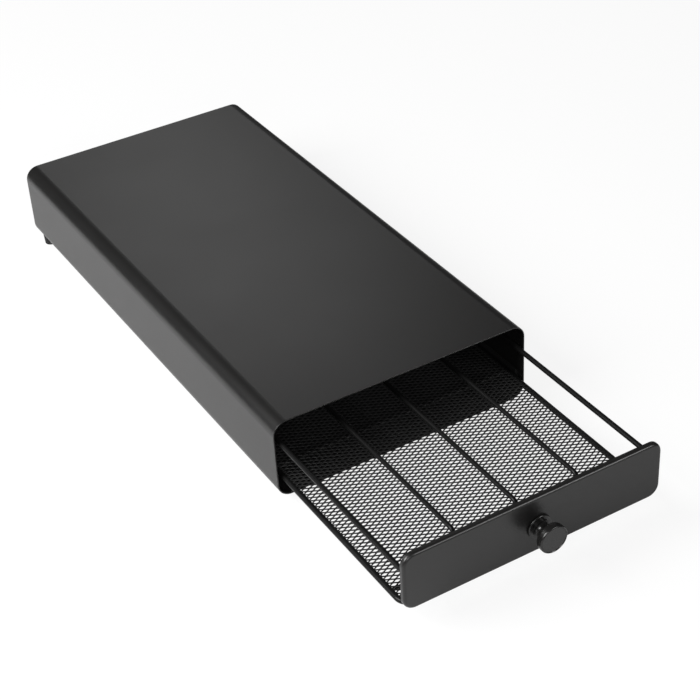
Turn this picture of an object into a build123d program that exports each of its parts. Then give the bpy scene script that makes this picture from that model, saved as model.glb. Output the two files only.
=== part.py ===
from build123d import *
from math import atan2, cos, sin, sqrt
import os

os.makedirs("parts", exist_ok=True)

# Coffee pod drawer: a flat sheet-steel sleeve with a wire tray that slides out at the front.
# The origin is on the surface it stands on, under the middle of its overall box.
# +X is to the right of someone facing the drawer, +Y is towards the back, +Z is up.
# All sizes are millimetres. The drawer stands part way out, as in daily use.

# ---- casing -----------------------------------------------------------------
casing_width = 210.0
casing_length = 436.0
casing_height = 64.5
casing_corner = 11.0        # outer bend radius of the four long edges
casing_sheet = 1.0
mouth_round = 0.3
seam_gap = 0.6              # the sheet's two edges meet under the bottom
strap_width = 16.0          # strip welded over the seam, inside
strap_sheet = 0.9

back_sheet = 0.9
back_flange = 8.0

# ---- feet -------------------------------------------------------------------
foot_height = 5.4
foot_base_radius = 5.0
foot_top_radius = 6.1
rear_foot_side = 7.8        # casing side to foot centre
rear_foot_end = 12.0        # casing back to foot centre
front_foot_side = 14.0
front_foot_end = 18.0
foot_edge_round = 0.8
stem_radius = 2.0
stem_hole_clearance = 0.2
barb_radius = 2.6
barb_height = 2.4
barb_clearance = 0.1

# ---- runners and keepers ----------------------------------------------------
runner_sheet = 0.9
runner_shelf = 9.0
runner_leg = 5.0
runner_setback = 8.5        # behind the mouth
runner_end_gap = 0.5        # to the back panel's flange
running_clearance = 0.3     # rim wire to shelf
keeper_sheet = 0.9
keeper_reach = 7.1          # inwards from the side wall
keeper_leg = 6.0
keeper_length = 18.0
keeper_front = 48.0         # from the runner's front end
keeper_clearance = 0.9      # above the tray floor

# ---- drawer -----------------------------------------------------------------
drawer_out = 158.4          # how far the panel stands out of the mouth at rest
drawer_travel = 272.0       # from shut to the stop
closed_gap = 0.5            # tray to back panel when shut

panel_side_gap = 3.0        # panel to the casing's outer side, when shut
panel_top_gap = 3.7         # panel to the casing's top face, when shut
panel_bottom = 15.25        # panel to the casing's underside
panel_depth = 4.0
panel_corner = 9.0
panel_sheet = 0.9
panel_edge_round = 2.2      # bend from the face into the lip

knob_offset = 1.5           # right of the panel's middle
knob_rise = 21.2            # above the panel's lower edge
knob_base_radius = 9.2
knob_base_thickness = 1.9
knob_collar_radius = 6.4
knob_collar_end = 3.6
knob_neck_radius = 4.4
knob_neck_middle = 7.4
knob_neck_end = 10.8
knob_head_radius = 10.6
knob_head_rear = 13.0       # the head is straight from here
knob_head_front = 15.8      # to here, then its edge rounds into the face
knob_length = 16.9
knob_face_radius = 9.6
knob_dish = 0.4
knob_bore_depth = 9.0
screw_radius = 1.9
screw_clearance = 0.1
screw_head_radius = 3.7
screw_head_height = 2.4
screw_slot_width = 0.9
screw_slot_depth = 1.2
screw_tip_gap = 1.0         # screw's tip to the bottom of its bore
washer_radius = 4.8
washer_thickness = 0.8

rim_wire = 4.2              # wire diameters
rail_wire = 3.8
divider_wire = 3.4
cross_wire = 2.4
post_wire = 2.0
lug_wire = 2.0

rim_side_gap = 6.0          # wire centre lines to the casing's outer side
rail_side_gap = 6.1
rim_rise = 0.85             # rim's centre line above the panel's lower edge
rail_rise = 29.0            # rails' centre lines above the rim's
divider_drop = 3.5          # dividers' centre lines below the rails'
tray_bend = 8.0             # bend radius of the rim and rail at the tray's corners
divider_bend = 5.0

lane_edge = 0.4             # outer lanes' edge to the rim's centre line
divider_front = 22.0        # front leg, behind the panel's face
divider_rear = 14.0         # rear leg, in front of the tray's rear run
cross_places = (172.0, 252.0, 332.0)   # loose cross wires, behind the panel's face
post_inset = 15.5           # outermost rear posts to the rim's centre line
lug_height = 4.4

floor_sheet = 1.0
floor_strand = 1.6          # half of the metal left between two openings
floor_rows = 19             # rows of openings between a divider's legs

# ---- places that follow from the sizes --------------------------------------
casing_y = (drawer_out + knob_length) / 2
front_y = casing_y - casing_length / 2
back_y = casing_y + casing_length / 2
casing_z = foot_height
casing_mid_z = casing_z + casing_height / 2
inner_half_width = casing_width / 2 - casing_sheet
inner_corner = casing_corner - casing_sheet
corner_x = casing_width / 2 - casing_corner
corner_z = casing_z + casing_corner

front_foot_x = casing_width / 2 - front_foot_side
front_foot_y = front_y + front_foot_end
rear_foot_x = casing_width / 2 - rear_foot_side
rear_foot_y = back_y - rear_foot_end
feet = {
    "front_left": (-front_foot_x, front_foot_y),
    "front_right": (front_foot_x, front_foot_y),
    "rear_left": (-rear_foot_x, rear_foot_y),
    "rear_right": (rear_foot_x, rear_foot_y),
}

panel_width = casing_width - 2 * panel_side_gap
panel_height = casing_height - panel_bottom - panel_top_gap
rim_half_width = casing_width / 2 - rim_side_gap
rail_half_width = casing_width / 2 - rail_side_gap
lane_pitch = (rim_half_width - lane_edge) / 2
outer_post = rim_half_width - post_inset

panel_y = front_y - drawer_out
panel_z = casing_z + panel_bottom
panel_back_y = panel_y + panel_depth
tray_rear_y = panel_y + casing_length - back_sheet - closed_gap
rim_z = panel_z + rim_rise
rail_z = rim_z + rail_rise
divider_z = rail_z - divider_drop
rim_front_y = panel_back_y + rim_wire / 2
rear_run_y = tray_rear_y - rim_wire / 2
floor_z = rim_z + cross_wire / 2
floor_top_z = floor_z + floor_sheet
front_leg_y = panel_y + divider_front
rear_leg_y = rear_run_y - divider_rear
knob_x = knob_offset
knob_z = panel_z + knob_rise

shelf_z = rim_z - rim_wire / 2 - running_clearance
runner_front_y = front_y + runner_setback
runner_back_y = back_y - back_sheet - back_flange - runner_end_gap
keeper_z = floor_top_z + keeper_clearance
keeper_front_y = runner_front_y + keeper_front
stop_y = keeper_front_y + keeper_length + drawer_travel - drawer_out

sides = {"left": -1, "right": 1}


def section(y):
    """Upright plane across the drawer at y: its x is +X and its y is +Z."""
    return Plane(origin=(0, y, 0), x_dir=(1, 0, 0), z_dir=(0, -1, 0))


# ---- casing sleeve: one sheet wrapped round, its edges softened at the mouth ---
with BuildPart() as casing_sleeve:
    with BuildSketch(section(front_y)):
        with Locations((0, casing_mid_z)):
            RectangleRounded(casing_width, casing_height, casing_corner)
            RectangleRounded(
                casing_width - 2 * casing_sheet,
                casing_height - 2 * casing_sheet,
                inner_corner,
                mode=Mode.SUBTRACT,
            )
    extrude(amount=-casing_length)
    mouth = casing_sleeve.faces().sort_by(Axis.Y)[0]
    fillet(mouth.edges(), mouth_round)
    with BuildSketch(Plane.XY.offset(casing_z)):
        with Locations((0, casing_y)):
            Rectangle(seam_gap, casing_length)
    extrude(amount=2 * casing_sheet, mode=Mode.SUBTRACT)
    with BuildSketch(Plane.XY.offset(casing_z)):
        with Locations(*feet.values()):
            Circle(stem_radius + stem_hole_clearance)
    extrude(amount=casing_corner, mode=Mode.SUBTRACT)
casing_sleeve.part.label = "casing_sleeve"
export_step(casing_sleeve.part, "parts/casing_sleeve.step")

# ---- strip over the seam ------------------------------------------------------
strap_front_y = runner_front_y
strap_back_y = runner_back_y
with BuildPart() as seam_strap:
    with BuildSketch(Plane.XY.offset(casing_z + casing_sheet)):
        with Locations((0, (strap_front_y + strap_back_y) / 2)):
            RectangleRounded(strap_width, strap_back_y - strap_front_y, strap_width / 4)
    extrude(amount=strap_sheet)
seam_strap.part.label = "seam_strap"
export_step(seam_strap.part, "parts/seam_strap.step")

# ---- back panel: a shallow pan pushed into the sleeve's rear end ---------------
inner_width = casing_width - 2 * casing_sheet
inner_height = casing_height - 2 * casing_sheet
with BuildPart() as back_panel:
    with BuildSketch(section(back_y)):
        with Locations((0, casing_mid_z)):
            RectangleRounded(inner_width, inner_height, inner_corner)
    extrude(amount=back_sheet + back_flange)
    with BuildSketch(section(back_y - back_sheet)):
        with Locations((0, casing_mid_z)):
            RectangleRounded(
                inner_width - 2 * back_sheet,
                inner_height - 2 * back_sheet,
                inner_corner - back_sheet,
            )
    extrude(amount=back_flange, mode=Mode.SUBTRACT)
back_panel.part.label = "back_panel"
export_step(back_panel.part, "parts/back_panel.step")

# ---- feet: tapered rubber, shaped to the casing's lower corners ----------------
for name, (foot_x, foot_y) in feet.items():
    into_bend = max(abs(foot_x) + barb_radius - corner_x, 0)
    barb_z = corner_z - sqrt(inner_corner**2 - into_bend**2) + barb_clearance
    with BuildPart() as foot:
        with BuildSketch(Plane((foot_x, foot_y, 0))):
            Circle(foot_base_radius)
        with BuildSketch(Plane((foot_x, foot_y, corner_z))):
            Circle(foot_top_radius)
        loft()
        fillet(foot.faces().sort_by(Axis.Z)[0].edges(), foot_edge_round)
        with BuildSketch(section(front_y)):
            with Locations((0, casing_mid_z)):
                RectangleRounded(casing_width, casing_height, casing_corner)
        extrude(amount=-casing_length, mode=Mode.SUBTRACT)
        with BuildSketch(Plane((foot_x, foot_y, foot_height / 2))):
            Circle(stem_radius)
        extrude(amount=barb_z - foot_height / 2)
        with BuildSketch(Plane((foot_x, foot_y, barb_z))):
            Circle(barb_radius)
        extrude(amount=barb_height, taper=25)
    foot.part.label = f"foot_{name}"
    export_step(foot.part, f"parts/foot_{name}.step")

# ---- runners: angles along both side walls that carry the tray's rim -----------
for side, side_sign in sides.items():
    wall_x = side_sign * inner_half_width
    with BuildPart() as runner:
        with BuildSketch(section(runner_front_y)):
            with BuildLine():
                Polyline(
                    (wall_x, shelf_z - runner_sheet),
                    (wall_x, shelf_z + runner_leg),
                    (wall_x - side_sign * runner_sheet, shelf_z + runner_leg),
                    (wall_x - side_sign * runner_sheet, shelf_z),
                    (wall_x - side_sign * runner_shelf, shelf_z),
                    (wall_x - side_sign * runner_shelf, shelf_z - runner_sheet),
                    close=True,
                )
            make_face()
        extrude(amount=runner_front_y - runner_back_y)
        bend = runner.edges().filter_by(Axis.Y).sort_by(
            lambda edge: abs(abs(edge.center().X) - inner_half_width)
            + abs(edge.center().Z - shelf_z + runner_sheet)
        )[0]
        fillet(bend, runner_sheet)
    runner.part.label = f"runner_{side}"
    export_step(runner.part, f"parts/runner_{side}.step")

# ---- keepers: small tabs over the rim, welded to the side walls ----------------
for side, side_sign in sides.items():
    leg_x = side_sign * inner_half_width
    with BuildPart() as keeper:
        with BuildSketch(section(keeper_front_y)):
            with BuildLine():
                Polyline(
                    (leg_x, keeper_z),
                    (leg_x, keeper_z + keeper_leg),
                    (leg_x - side_sign * keeper_sheet, keeper_z + keeper_leg),
                    (leg_x - side_sign * keeper_sheet, keeper_z + keeper_sheet),
                    (leg_x - side_sign * keeper_reach, keeper_z + keeper_sheet),
                    (leg_x - side_sign * keeper_reach, keeper_z),
                    close=True,
                )
            make_face()
        extrude(amount=-keeper_length)
    keeper.part.label = f"keeper_{side}"
    export_step(keeper.part, f"parts/keeper_{side}.step")

# ---- front panel: a pan with rounded corners and a returned lip ----------------
panel_mid_z = panel_z + panel_height / 2
with BuildPart() as front_panel:
    with BuildSketch(section(panel_y)):
        with Locations((0, panel_mid_z)):
            RectangleRounded(panel_width, panel_height, panel_corner)
    extrude(amount=-panel_depth)
    fillet(front_panel.faces().sort_by(Axis.Y)[0].edges(), panel_edge_round)
    with BuildSketch(section(panel_y + panel_sheet)):
        with Locations((0, panel_mid_z)):
            RectangleRounded(
                panel_width - 2 * panel_sheet,
                panel_height - 2 * panel_sheet,
                panel_corner - panel_sheet,
            )
    extrude(amount=-panel_depth, mode=Mode.SUBTRACT)
    inside = front_panel.faces().filter_by(Axis.Y).sort_by(Axis.Y)[1]
    fillet(inside.edges(), panel_edge_round - panel_sheet)
    with BuildSketch(section(panel_y)):
        with Locations((knob_x, knob_z)):
            Circle(screw_radius + screw_clearance)
    extrude(amount=-panel_depth, mode=Mode.SUBTRACT)
front_panel.part.label = "front_panel"
export_step(front_panel.part, "parts/front_panel.step")

# ---- knob, its washer and its screw --------------------------------------------
knob_plane = Plane(origin=(knob_x, panel_y, knob_z), x_dir=(1, 0, 0), z_dir=(0, 0, 1))
knob_axis = Axis((knob_x, panel_y, knob_z), (0, 1, 0))
base_round = knob_base_thickness / 2
neck_end_radius = knob_neck_radius + base_round


def shoulder(narrow, wide):
    """Middle of the arc from narrow to wide that runs along the shaft where it reaches wide."""
    across, along = wide[0] - narrow[0], wide[1] - narrow[1]
    radius = (across**2 + along**2) / (2 * across)
    turn = atan2(-along, radius - across) / 2
    return (wide[0] - radius * (1 - cos(turn)), -(wide[1] + radius * sin(turn)))


head_rear = (knob_head_radius, knob_head_rear)
head_front = (knob_head_radius, knob_head_front)
rear_shoulder = shoulder((neck_end_radius, knob_neck_end), head_rear)
front_shoulder = shoulder((knob_face_radius, knob_length), head_front)
with BuildPart() as knob:
    with BuildSketch(knob_plane):
        with BuildLine():
            Polyline((0, 0), (knob_base_radius - base_round, 0))
            ThreePointArc(
                (knob_base_radius - base_round, 0),
                (knob_base_radius, -base_round),
                (knob_base_radius - base_round, -knob_base_thickness),
            )
            Polyline(
                (knob_base_radius - base_round, -knob_base_thickness),
                (knob_collar_radius, -knob_base_thickness),
                (knob_collar_radius, -knob_collar_end),
                (neck_end_radius, -knob_collar_end),
            )
            ThreePointArc(
                (neck_end_radius, -knob_collar_end),
                (knob_neck_radius, -knob_neck_middle),
                (neck_end_radius, -knob_neck_end),
            )
            ThreePointArc(
                (neck_end_radius, -knob_neck_end),
                rear_shoulder,
                (knob_head_radius, -knob_head_rear),
            )
            Line(
                (knob_head_radius, -knob_head_rear),
                (knob_head_radius, -knob_head_front),
            )
            ThreePointArc(
                (knob_head_radius, -knob_head_front),
                front_shoulder,
                (knob_face_radius, -knob_length),
            )
            Polyline(
                (knob_face_radius, -knob_length),
                (knob_face_radius - knob_dish, -knob_length + knob_dish),
                (0, -knob_length + knob_dish),
                (0, 0),
            )
        make_face()
    revolve(axis=knob_axis)
    with BuildSketch(section(panel_y)):
        with Locations((knob_x, knob_z)):
            Circle(screw_radius + screw_clearance)
    extrude(amount=knob_bore_depth, mode=Mode.SUBTRACT)
knob.part.label = "knob"
export_step(knob.part, "parts/knob.step")

washer_y = panel_y + panel_sheet
with BuildPart() as knob_washer:
    with BuildSketch(section(washer_y)):
        with Locations((knob_x, knob_z)):
            Circle(washer_radius)
            Circle(screw_radius + screw_clearance, mode=Mode.SUBTRACT)
    extrude(amount=-washer_thickness)
knob_washer.part.label = "knob_washer"
export_step(knob_washer.part, "parts/knob_washer.step")

screw_head_y = washer_y + washer_thickness
screw_end_y = panel_y - knob_bore_depth + screw_tip_gap
with BuildPart() as knob_screw:
    with BuildSketch(section(screw_head_y)):
        with Locations((knob_x, knob_z)):
            Circle(screw_radius)
    extrude(amount=screw_head_y - screw_end_y)
    with BuildSketch(section(screw_head_y)):
        with Locations((knob_x, knob_z)):
            Circle(screw_head_radius)
    extrude(amount=-screw_head_height)
    fillet(
        knob_screw.faces().sort_by(Axis.Y)[-1].edges(),
        screw_head_height / 3,
    )
    with BuildSketch(section(screw_head_y + screw_head_height)):
        with Locations((knob_x, knob_z)):
            Rectangle(screw_head_radius, screw_slot_width)
            Rectangle(screw_slot_width, screw_head_radius)
    extrude(amount=screw_slot_depth, mode=Mode.SUBTRACT)
knob_screw.part.label = "knob_screw"
export_step(knob_screw.part, "parts/knob_screw.step")

# ---- tray wires -----------------------------------------------------------------
with BuildPart() as lower_rim:
    with BuildLine(Plane.XY.offset(rim_z)) as rim_path:
        FilletPolyline(
            (rim_half_width, rim_front_y),
            (rim_half_width, rear_run_y),
            (-rim_half_width, rear_run_y),
            (-rim_half_width, rim_front_y),
            radius=tray_bend,
            close=True,
        )
    with BuildSketch(Plane(origin=rim_path.wire() @ 0, z_dir=rim_path.wire() % 0)):
        Circle(rim_wire / 2)
    sweep()
lower_rim.part.label = "lower_rim"
export_step(lower_rim.part, "parts/lower_rim.step")

rail_front_y = panel_y + panel_sheet
with BuildPart() as upper_rail:
    with BuildLine(Plane.XY.offset(rail_z)):
        FilletPolyline(
            (-rail_half_width, rail_front_y),
            (-rail_half_width, rear_run_y),
            (rail_half_width, rear_run_y),
            (rail_half_width, rail_front_y),
            radius=tray_bend,
        )
    with BuildSketch(section(rail_front_y)):
        with Locations((-rail_half_width, rail_z)):
            Circle(rail_wire / 2)
    sweep()
    add(front_panel.part, mode=Mode.SUBTRACT)
upper_rail.part.label = "upper_rail"
export_step(upper_rail.part, "parts/upper_rail.step")

# Dividers: one wire each, bent down at both ends onto the floor.
lanes = {"left": -1, "middle": 0, "right": 1}
for name, place in lanes.items():
    divider_plane = Plane(
        origin=(place * lane_pitch, 0, 0), x_dir=(0, 1, 0), z_dir=(1, 0, 0)
    )
    with BuildPart() as divider:
        with BuildLine(divider_plane):
            FilletPolyline(
                (front_leg_y, floor_top_z),
                (front_leg_y, divider_z),
                (rear_leg_y, divider_z),
                (rear_leg_y, floor_top_z),
                radius=divider_bend,
            )
        with BuildSketch(Plane((place * lane_pitch, front_leg_y, floor_top_z))):
            Circle(divider_wire / 2)
        sweep()
    divider.part.label = f"divider_{name}"
    export_step(divider.part, f"parts/divider_{name}.step")

# Cross wires lie between the rim's two sides, level with it, and carry the floor.
cross_ys = [front_leg_y] + [panel_y + place for place in cross_places] + [rear_leg_y]
for number, cross_y in enumerate(cross_ys, start=1):
    with BuildPart() as cross:
        with BuildSketch(Plane(origin=(-rim_half_width, cross_y, rim_z), z_dir=(1, 0, 0))):
            Circle(cross_wire / 2)
        extrude(amount=2 * rim_half_width)
        add(lower_rim.part, mode=Mode.SUBTRACT)
    inner_run = cross.part.solids().sort_by(SortBy.VOLUME)[-1]
    cross_part = Part(inner_run.wrapped)
    cross_part.label = f"cross_wire_{number}"
    export_step(cross_part, f"parts/cross_wire_{number}.step")

# Rear posts join the rim's rear run to the rail's.
post_xs = (-outer_post, -lane_pitch, 0, lane_pitch, outer_post)
for number, post_x in enumerate(post_xs, start=1):
    with BuildPart() as post:
        with BuildSketch(Plane((post_x, rear_run_y, rim_z))):
            Circle(post_wire / 2)
        extrude(amount=rail_rise)
        add(lower_rim.part, mode=Mode.SUBTRACT)
        add(upper_rail.part, mode=Mode.SUBTRACT)
    post.part.label = f"rear_post_{number}"
    export_step(post.part, f"parts/rear_post_{number}.step")

# Stop lugs stand on the rim and meet the keepers when the drawer is fully out.
lug_y = stop_y + lug_wire / 2
for side, side_sign in sides.items():
    with BuildPart() as stop_lug:
        with BuildSketch(Plane((side_sign * rim_half_width, lug_y, rim_z))):
            Circle(lug_wire / 2)
        extrude(amount=rim_wire / 2 + lug_height)
        add(lower_rim.part, mode=Mode.SUBTRACT)
    stop_lug.part.label = f"stop_lug_{side}"
    export_step(stop_lug.part, f"parts/stop_lug_{side}.step")

# ---- tray floor: a flat sheet with staggered diamond openings -------------------
shoulder = sqrt((rim_wire / 2) ** 2 - (floor_z - rim_z) ** 2)
floor_half_width = rim_half_width - shoulder
floor_front_y = rim_front_y + shoulder
floor_back_y = rear_run_y - shoulder
cell_x = lane_pitch / 2
cell_y = (rear_leg_y - front_leg_y) / floor_rows
hole_x = cell_x / 2 - floor_strand
hole_y = hole_x * cell_y / cell_x
columns = int((floor_half_width - hole_x) / cell_x)
mid_leg_y = (front_leg_y + rear_leg_y) / 2
with BuildPart() as mesh_floor:
    with BuildSketch(Plane.XY.offset(floor_z)):
        with Locations((0, (floor_front_y + floor_back_y) / 2)):
            RectangleRounded(
                2 * floor_half_width, floor_back_y - floor_front_y, tray_bend - shoulder
            )
        with Locations((0, mid_leg_y)):
            with GridLocations(cell_x, cell_y, 2 * columns + 1, floor_rows):
                Polygon(
                    (hole_x, 0), (0, hole_y), (-hole_x, 0), (0, -hole_y), mode=Mode.SUBTRACT
                )
            with GridLocations(cell_x, cell_y, 2 * columns + 2, floor_rows + 1):
                Polygon(
                    (hole_x, 0), (0, hole_y), (-hole_x, 0), (0, -hole_y), mode=Mode.SUBTRACT
                )
    extrude(amount=floor_sheet)
mesh_floor.part.label = "mesh_floor"
export_step(mesh_floor.part, "parts/mesh_floor.step")
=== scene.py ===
from math import radians, sqrt

import bmesh
import bpy
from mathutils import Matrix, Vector


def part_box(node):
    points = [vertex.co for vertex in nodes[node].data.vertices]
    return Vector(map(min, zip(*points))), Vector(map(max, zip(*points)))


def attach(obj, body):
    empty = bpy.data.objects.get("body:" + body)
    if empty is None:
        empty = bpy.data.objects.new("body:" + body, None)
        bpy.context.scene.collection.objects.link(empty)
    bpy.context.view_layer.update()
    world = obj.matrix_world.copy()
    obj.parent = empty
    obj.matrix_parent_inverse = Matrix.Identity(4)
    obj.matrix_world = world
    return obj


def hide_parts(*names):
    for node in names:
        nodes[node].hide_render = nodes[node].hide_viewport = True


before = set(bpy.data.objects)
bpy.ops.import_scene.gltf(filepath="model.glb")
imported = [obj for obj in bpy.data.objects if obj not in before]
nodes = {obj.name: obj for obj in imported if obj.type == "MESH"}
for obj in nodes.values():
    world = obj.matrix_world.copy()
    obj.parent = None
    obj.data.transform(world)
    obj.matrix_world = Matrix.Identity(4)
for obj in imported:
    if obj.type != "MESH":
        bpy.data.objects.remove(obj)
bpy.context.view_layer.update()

MM = 0.001


# ---- camera: at the photograph's place, fitted to the casing's straight edges --------
camera_place = (-0.50202, -0.95571, 0.77531)
camera_turn = (54.6392, 2.7733, -31.4518)     # degrees
sensor_width = 36.0
picture_width = 700                           # pixels
focal_length = 1706.94                        # pixels
centre_offset = (-7.47, 0.57)                 # pixels

camera_data = bpy.data.cameras.new("camera")
camera = bpy.data.objects.new("camera", camera_data)
bpy.context.collection.objects.link(camera)
camera.location = camera_place
camera.rotation_euler = [radians(angle) for angle in camera_turn]
camera_data.sensor_width = sensor_width
camera_data.lens = sensor_width * focal_length / picture_width
camera_data.shift_x = centre_offset[0] / picture_width
camera_data.shift_y = centre_offset[1] / picture_width
camera_data.clip_start = 0.05
camera_data.clip_end = 30.0
bpy.context.scene.camera = camera


# ---- materials -----------------------------------------------------------------------
def node_tools(owner):
    """The emptied node tree of a material or world, and a function that adds nodes."""
    owner.use_nodes = True
    tree = owner.node_tree
    tree.nodes.clear()

    def add(kind, **settings):
        node = tree.nodes.new(kind)
        for key, value in settings.items():
            setattr(node, key, value)
        return node

    return tree, add


def cloudy_surface(name, cloud_scale, cloud_detail, tones, gloss_range):
    """A surface whose tone and gloss both drift with one soft noise."""
    material = bpy.data.materials.new(name)
    tree, add = node_tools(material)
    link = tree.links.new
    out = add("ShaderNodeOutputMaterial")
    shader = add("ShaderNodeBsdfPrincipled")
    place = add("ShaderNodeTexCoord")
    cloud = add("ShaderNodeTexNoise")
    cloud.inputs["Scale"].default_value = cloud_scale
    cloud.inputs["Detail"].default_value = cloud_detail
    tone = add("ShaderNodeMix", data_type="RGBA", blend_type="MIX")
    tone.inputs["A"].default_value = (*tones[0], 1)
    tone.inputs["B"].default_value = (*tones[1], 1)
    gloss = add("ShaderNodeMapRange")
    gloss.inputs["To Min"].default_value = gloss_range[0]
    gloss.inputs["To Max"].default_value = gloss_range[1]
    link(place.outputs["Object"], cloud.inputs["Vector"])
    link(cloud.outputs["Fac"], tone.inputs["Factor"])
    link(cloud.outputs["Fac"], gloss.inputs["Value"])
    link(tone.outputs["Result"], shader.inputs["Base Color"])
    link(gloss.outputs["Result"], shader.inputs["Roughness"])
    link(shader.outputs["BSDF"], out.inputs["Surface"])
    return material, add, link, place, shader


def coat(name, colour, roughness, specular=0.5, grain=900.0, bump=0.02, mottle=0.15):
    """Satin powder coat: fine orange peel, slight changes of tone and gloss."""
    tones = [[c * (1 - mottle) for c in colour], [c * (1 + mottle) for c in colour]]
    gloss_spread = 0.03
    gloss_range = (roughness - gloss_spread, roughness + gloss_spread)
    material, add, link, place, shader = cloudy_surface(name, 14.0, 3.0, tones, gloss_range)
    shader.inputs["Specular IOR Level"].default_value = specular
    peel = add("ShaderNodeTexNoise")
    peel.inputs["Scale"].default_value = grain
    peel.inputs["Detail"].default_value = 2.0
    relief = add("ShaderNodeBump")
    relief.inputs["Strength"].default_value = 0.6
    relief.inputs["Distance"].default_value = bump * MM
    link(place.outputs["Object"], peel.inputs["Vector"])
    link(peel.outputs["Fac"], relief.inputs["Height"])
    link(relief.outputs["Normal"], shader.inputs["Normal"])
    return material


def zinc(name):
    """Zinc plate: bare bright metal, a little clouded."""
    tones = [(0.45, 0.46, 0.47), (0.62, 0.62, 0.60)]
    material, _, _, _, shader = cloudy_surface(name, 400.0, 2.0, tones, (0.25, 0.42))
    shader.inputs["Metallic"].default_value = 1.0
    return material


casing_coat = coat("casing_coat", (0.009, 0.0087, 0.0085), 0.32)
panel_coat = coat("panel_coat", (0.009, 0.0087, 0.0085), 0.32)
wire_coat = coat("wire_coat", (0.006, 0.006, 0.006), 0.34, specular=0.17, bump=0.03)
mesh_coat = coat("mesh_coat", (0.012, 0.012, 0.012), 0.42, bump=0.03)
runner_coat = coat("runner_coat", (0.012, 0.012, 0.012), 0.5)
knob_coat = coat("knob_coat", (0.008, 0.0078, 0.0076), 0.24)
rubber = coat("rubber", (0.012, 0.012, 0.012), 0.7, specular=0.3, grain=2500.0, bump=0.05)
zinc_plate = zinc("zinc_plate")

finishes = {
    "casing_sleeve": casing_coat,
    "back_panel": casing_coat,
    "seam_strap": runner_coat,
    "front_panel": panel_coat,
    "knob": knob_coat,
    "knob_washer": zinc_plate,
    "knob_screw": zinc_plate,
    "mesh_floor": mesh_coat,
}


def finish_of(name):
    """The named piece's finish; what isn't listed is a foot, a runner's part or a wire."""
    if name in finishes:
        return finishes[name]
    if name.startswith("foot"):
        return rubber
    if name.startswith(("runner", "keeper")):
        return runner_coat
    return wire_coat


for name, node in nodes.items():
    for material_slot in node.material_slots:
        material_slot.material = finish_of(name)


# ---- tray floor: expanded steel mesh -------------------------------------------------
long_pitch = 7.3 * MM       # one diamond across the drawer
short_pitch = 3.78 * MM     # one diamond along it
strand = 0.8 * MM
gauge = 0.5 * MM
lift = 0.2 * MM             # strands climb from one bond to the next
bond_half = 0.5 * MM
strand_tilt = 0.18 * gauge  # each edge of a strand above or below its middle
corner = 7.0 * MM
onto_rim = 0.9 * MM         # strands end on the rim wire
end_gap = 0.1 * MM          # strands' ends inside that line

floor_low, floor_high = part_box("mesh_floor")


def strip_half_width(y):
    """Half the mesh's width at y: it narrows at the tray's rounded corners."""
    half = floor_high.x + onto_rim
    inside = min(y - floor_low.y, floor_high.y - y) + onto_rim
    if inside >= corner:
        return half
    return half - corner + sqrt(max(corner**2 - (corner - inside) ** 2, 0))


def zigzag(row, half):
    """One strand's centre line: level at each bond, crossing from bond to bond."""
    swing = (short_pitch / 2 - strand) / 2
    count = int(half / (long_pitch / 2)) + 1
    line = []
    for step in range(-count, count + 1):
        bond_x = step * long_pitch / 2
        side = 1 if (step + row) % 2 == 0 else -1
        line.append((bond_x - bond_half, side * swing, side * lift))
        line.append((bond_x + bond_half, side * swing, side * lift))
    return line


def between(start, end, share):
    return tuple(s + share * (e - s) for s, e in zip(start, end))


def trimmed(line, half):
    """The stretch of a strand's line that lies within half the mesh's width."""
    kept = []
    for start, end in zip(line, line[1:]):
        if end[0] <= -half or start[0] >= half:
            continue
        first = max((-half - start[0]) / (end[0] - start[0]), 0)
        last = min((half - start[0]) / (end[0] - start[0]), 1)
        if not kept:
            kept.append(between(start, end, first))
        kept.append(between(start, end, last))
    return kept


def add_strand(verts, faces, line, row_y, middle_z):
    """A closed ribbon of four-cornered sections along the line."""
    start = len(verts)
    for x, y, z in line:
        for across, up in ((-0.5, -0.5), (0.5, -0.5), (0.5, 0.5), (-0.5, 0.5)):
            section_y = row_y + y + across * strand
            section_z = middle_z + z + up * gauge + across * 2 * strand_tilt
            verts.append((x, section_y, section_z))
    end = start + 4 * (len(line) - 1)
    for a in range(start, end, 4):
        b = a + 4
        for k in range(4):
            faces.append((a + k, a + (k + 1) % 4, b + (k + 1) % 4, b + k))
    faces.append((start + 3, start + 2, start + 1, start))
    faces.append((end, end + 1, end + 2, end + 3))


def expanded_mesh():
    """Rows of zigzag strands, each a tilted ribbon bonded to the rows beside it."""
    verts, faces = [], []
    middle_z = (floor_low.z + floor_high.z) / 2
    rows = int((floor_high.y - floor_low.y - strand) / (short_pitch / 2))
    first_y = (floor_low.y + floor_high.y - (rows - 1) * short_pitch / 2) / 2
    for row in range(rows):
        row_y = first_y + row * short_pitch / 2
        half = strip_half_width(row_y) - end_gap
        line = trimmed(zigzag(row, half), half)
        add_strand(verts, faces, line, row_y, middle_z)
    mesh = bpy.data.meshes.new("expanded_floor")
    mesh.from_pydata(verts, [], faces)
    mesh.validate()
    piece = bpy.data.objects.new("expanded_floor", mesh)
    bpy.context.collection.objects.link(piece)
    mesh.materials.append(mesh_coat)
    return piece


expanded_floor = expanded_mesh()
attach(expanded_floor, "drawer")
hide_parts("mesh_floor")


# ---- stage: white floor, white world and four soft lamps -----------------------------
floor_radius = 6.0
floor_drop = 0.0002                   # below the feet
floor_shade = 0.14                    # how strongly the floor shows a shadow
# painted light: the floor's colour, as the lamps and the drawer see it, is a painted pool
# of light round the drawer's plan
painted_lit_half_size = (0.105, 0.3, 0.0)  # of the plan that the bright floor goes round
painted_lit_reach = 0.12                   # the floor is bright this far outside that plan
painted_shade_reach = 0.5                      # and dark from here outwards
painted_lit_floor_tone = 0.8
painted_shade_floor_tone = 0.12
world_light = 0.08


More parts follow.
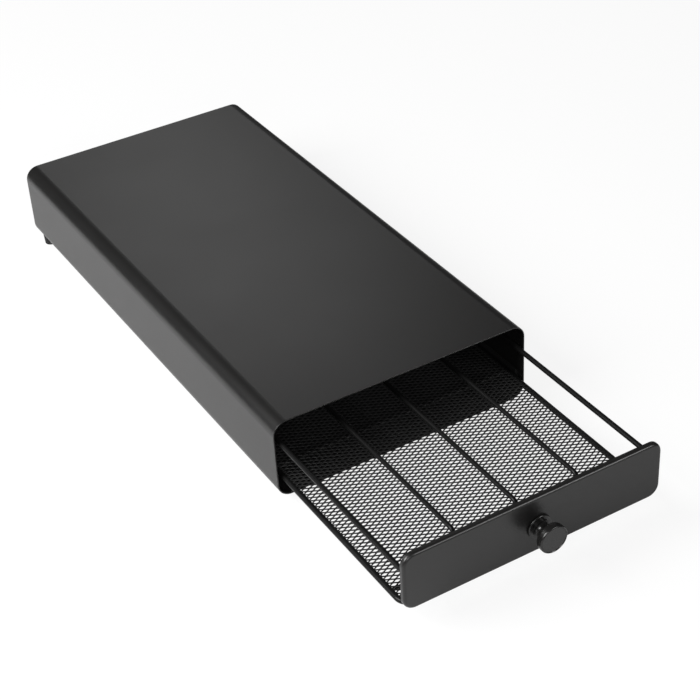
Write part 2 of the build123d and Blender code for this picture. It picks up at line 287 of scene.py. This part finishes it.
def stage_white(name, shade):
    """White floor: plain white to the camera with a faint shadow; to the light its colour
    is a painted pool of light, white beside the drawer and painted darker further out."""
    material = bpy.data.materials.new(name)
    tree, add = node_tools(material)
    link = tree.links.new
    out = add("ShaderNodeOutputMaterial")
    path = add("ShaderNodeLightPath")
    body = add("ShaderNodeBsdfDiffuse")
    place = add("ShaderNodeTexCoord")
    beyond = add("ShaderNodeVectorMath", operation="ABSOLUTE")
    past_box = add("ShaderNodeVectorMath", operation="SUBTRACT")
    past_box.inputs[1].default_value = painted_lit_half_size
    outside = add("ShaderNodeVectorMath", operation="MAXIMUM")
    outside.inputs[1].default_value = (0.0, 0.0, 0.0)
    distance = add("ShaderNodeVectorMath", operation="LENGTH")
    # painted light: the floor's colour fades from painted lit beside the drawer to painted
    # shade further out
    fade = add("ShaderNodeMapRange", interpolation_type="SMOOTHSTEP")
    fade.inputs["From Min"].default_value = painted_lit_reach
    fade.inputs["From Max"].default_value = painted_shade_reach
    fade.inputs["To Min"].default_value = painted_lit_floor_tone
    fade.inputs["To Max"].default_value = painted_shade_floor_tone
    link(place.outputs["Object"], beyond.inputs[0])
    link(beyond.outputs["Vector"], past_box.inputs[0])
    link(past_box.outputs["Vector"], outside.inputs[0])
    link(outside.outputs["Vector"], distance.inputs[0])
    link(distance.outputs["Value"], fade.inputs["Value"])
    link(fade.outputs["Result"], body.inputs["Color"])
    faint = add("ShaderNodeBsdfDiffuse")
    faint.inputs["Color"].default_value = (shade, shade, shade, 1)
    glow = add("ShaderNodeEmission")
    glow.inputs["Color"].default_value = (1, 1, 1, 1)
    glow.inputs["Strength"].default_value = 1.0 - shade
    seen = add("ShaderNodeAddShader")
    mix = add("ShaderNodeMixShader")
    link(faint.outputs["BSDF"], seen.inputs[0])
    link(glow.outputs["Emission"], seen.inputs[1])
    link(path.outputs["Is Camera Ray"], mix.inputs["Fac"])
    link(body.outputs["BSDF"], mix.inputs[1])
    link(seen.outputs["Shader"], mix.inputs[2])
    link(mix.outputs["Shader"], out.inputs["Surface"])
    return material


def white_world(name, light_strength):
    """White to the camera, and a weak even fill to everything else."""
    world = bpy.data.worlds.new(name)
    tree, add = node_tools(world)
    link = tree.links.new
    out = add("ShaderNodeOutputWorld")
    path = add("ShaderNodeLightPath")
    light = add("ShaderNodeBackground")
    light.inputs["Color"].default_value = (1, 1, 1, 1)
    light.inputs["Strength"].default_value = light_strength
    seen = add("ShaderNodeBackground")
    seen.inputs["Color"].default_value = (1, 1, 1, 1)
    seen.inputs["Strength"].default_value = 1.0
    mix = add("ShaderNodeMixShader")
    link(path.outputs["Is Camera Ray"], mix.inputs["Fac"])
    link(light.outputs["Background"], mix.inputs[1])
    link(seen.outputs["Background"], mix.inputs[2])
    link(mix.outputs["Shader"], out.inputs["Surface"])
    return world


def softbox(name, place, aim, size, power):
    data = bpy.data.lights.new(name, "AREA")
    data.shape = "RECTANGLE"
    data.size, data.size_y = size
    data.energy = power
    lamp = bpy.data.objects.new(name, data)
    bpy.context.collection.objects.link(lamp)
    lamp.location = place
    lamp.visible_camera = False
    lamp.rotation_euler = (Vector(aim) - Vector(place)).to_track_quat("-Z", "Y").to_euler()
    return lamp


floor_mesh = bpy.data.meshes.new("floor")
floor = bpy.data.objects.new("floor", floor_mesh)
bpy.context.collection.objects.link(floor)
bm = bmesh.new()
bmesh.ops.create_circle(bm, cap_ends=True, segments=64, radius=floor_radius)
bm.to_mesh(floor_mesh)
bm.free()
floor.location.z = -floor_drop
floor_mesh.materials.append(stage_white("floor_white", floor_shade))

bpy.context.scene.world = white_world("world", world_light)

softbox("back", (0.62, 1.65, 1.07), (0.62, 1.64, 0.07), (0.6, 1.2), 2.9)
softbox("left", (-1.35, 0.15, 1.05), (-0.25, 0.1, 0), (1.0, 1.0), 41)
softbox("front_left", (-1.1, -2.2, 1.3), (0, -0.3, 0), (1.2, 0.9), 20)
softbox("front_right", (1.35, -2.35, 1.35), (0, -0.3, 0.05), (1.0, 0.6), 27)

bpy.context.scene.view_settings.view_transform = "Standard"
